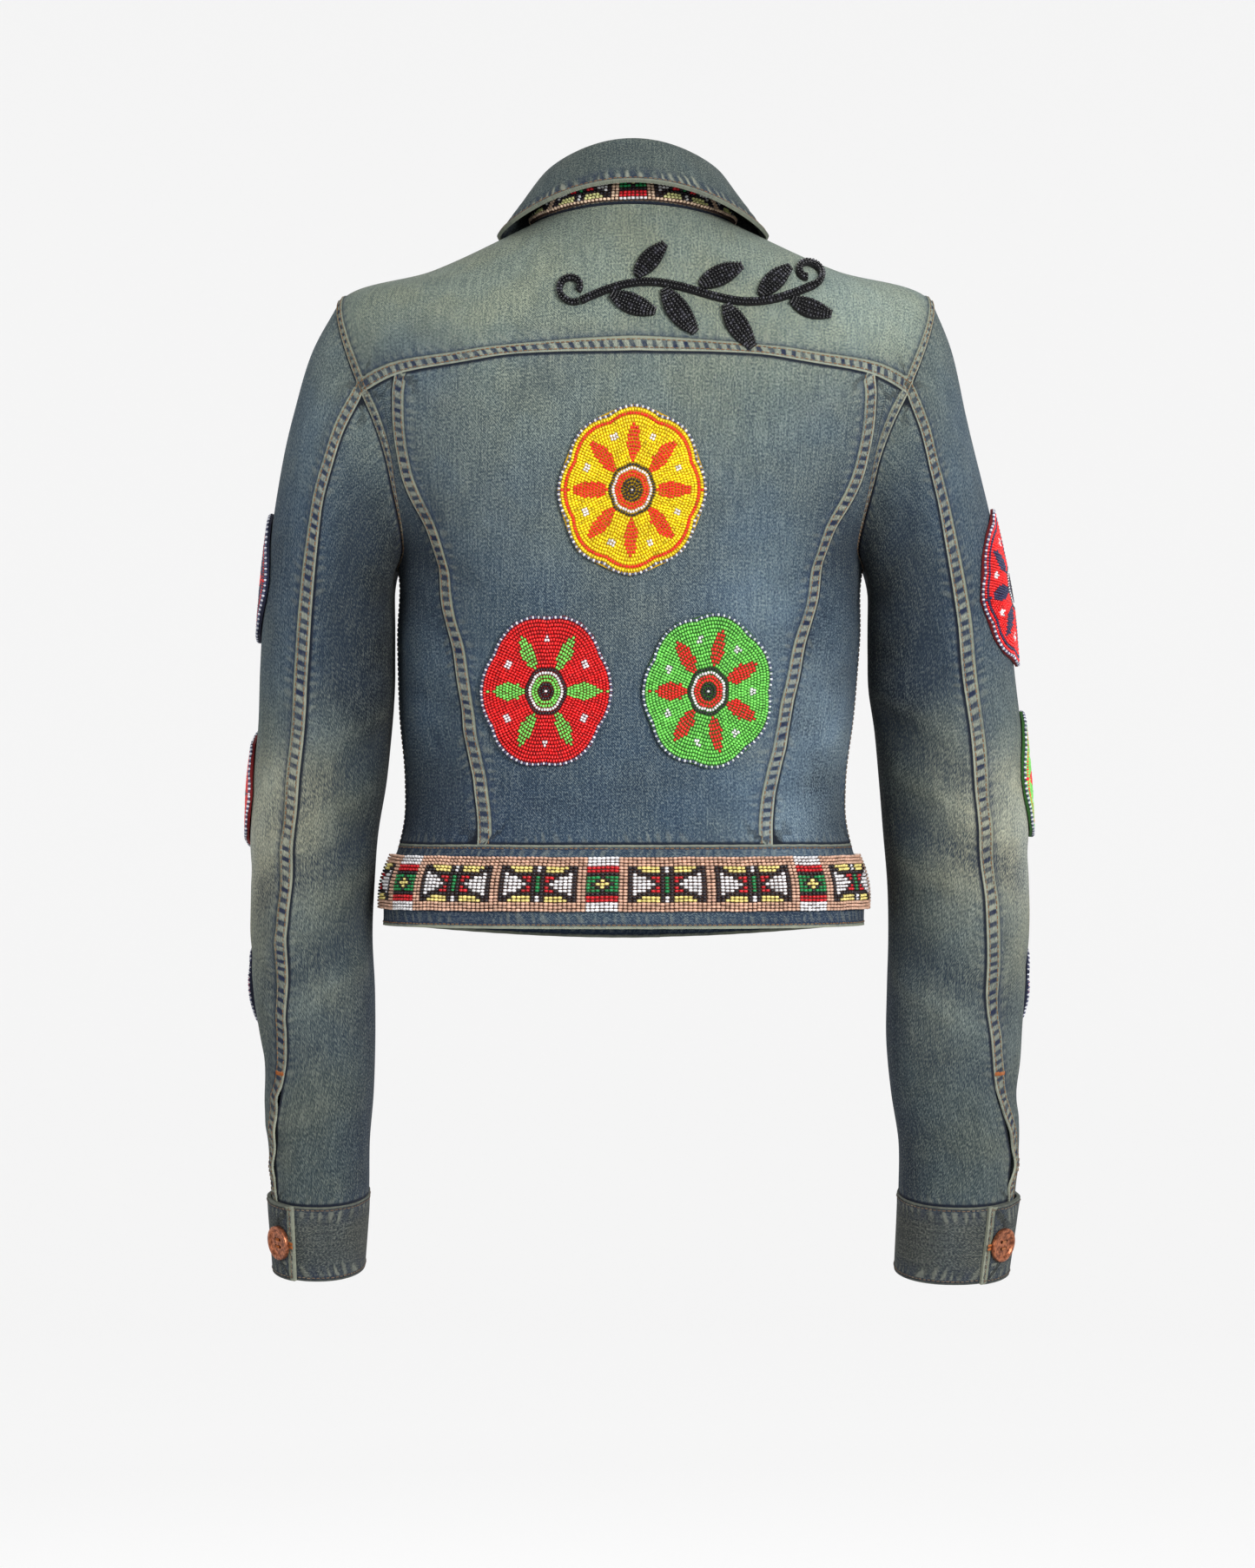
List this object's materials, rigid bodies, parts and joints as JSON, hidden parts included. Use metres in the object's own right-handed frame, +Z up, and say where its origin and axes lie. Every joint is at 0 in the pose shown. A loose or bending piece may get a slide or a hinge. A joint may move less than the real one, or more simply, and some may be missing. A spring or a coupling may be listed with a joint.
{
  "type": "denim jacket",
  "caption": "Cropped, fitted denim jacket in its worn, filled-out form, with collar, yoke, panelled back, beaded bands, beaded rosettes and a beaded spray",
  "frame": {"origin": "centre of the neck at the height where the shoulders meet the neck, where the jacket is held when worn", "axes": "+Z up, the front faces -Y, the wearer's left is +X"},
  "size_m": [0.504, 0.2343, 0.727],
  "materials": {
    "washed_denim": "worn cotton denim twill, faded at the seams with a greenish brown cast",
    "dark_denim": "darker worn cotton denim twill",
    "beads_tan": "opaque glossy glass seed beads on a tan ground",
    "beads_yellow": "opaque glossy glass seed beads, mostly yellow",
    "beads_green": "opaque glossy glass seed beads, mostly green",
    "beads_red": "opaque glossy glass seed beads, mostly red",
    "beads_black": "opaque glossy black glass seed beads",
    "beads_navy": "opaque glossy glass seed beads, mostly dark blue",
    "copper": "worn copper-coloured metal, satin",
    "dull_steel": "dull aged metal"
  },
  "bodies": {
    "root": {"back_centre": "washed_denim", "back_side_left": "washed_denim", "back_side_right": "washed_denim", "back_yoke": "washed_denim", "collar": "washed_denim", "collar_stand": "washed_denim", "cuff_button_left": "copper", "cuff_button_right": "copper", "cuff_left": "dark_denim", "cuff_right": "dark_denim", "front_button_1": "dull_steel", "front_button_2": "dull_steel", "front_button_3": "dull_steel", "front_button_4": "dull_steel", "front_button_5": "dull_steel", "front_button_6": "dull_steel", "front_left": "washed_denim", "front_right": "washed_denim", "neck_bead_band": "beads_tan", "placket_left": "washed_denim", "placket_right": "washed_denim", "rosette_green": "beads_green", "rosette_red": "beads_red", "rosette_yellow": "beads_yellow", "sleeve_rosette_left_1": "beads_navy", "sleeve_rosette_left_2": "beads_red", "sleeve_rosette_left_3": "beads_navy", "sleeve_rosette_right_1": "beads_red", "sleeve_rosette_right_2": "beads_green", "sleeve_rosette_right_3": "beads_navy", "sleeve_under_left": "washed_denim", "sleeve_under_right": "washed_denim", "sleeve_upper_left": "washed_denim", "sleeve_upper_right": "washed_denim", "spray_curl_left": "beads_black", "spray_curl_right": "beads_black", "spray_leaf_1": "beads_black", "spray_leaf_2": "beads_black", "spray_leaf_3": "beads_black", "spray_leaf_4": "beads_black", "spray_leaf_5": "beads_black", "spray_leaf_6": "beads_black", "spray_leaf_7": "beads_black", "spray_stem": "beads_black", "waist_bead_band": "beads_tan", "waistband": "washed_denim"}
  },
  "joints": []
}
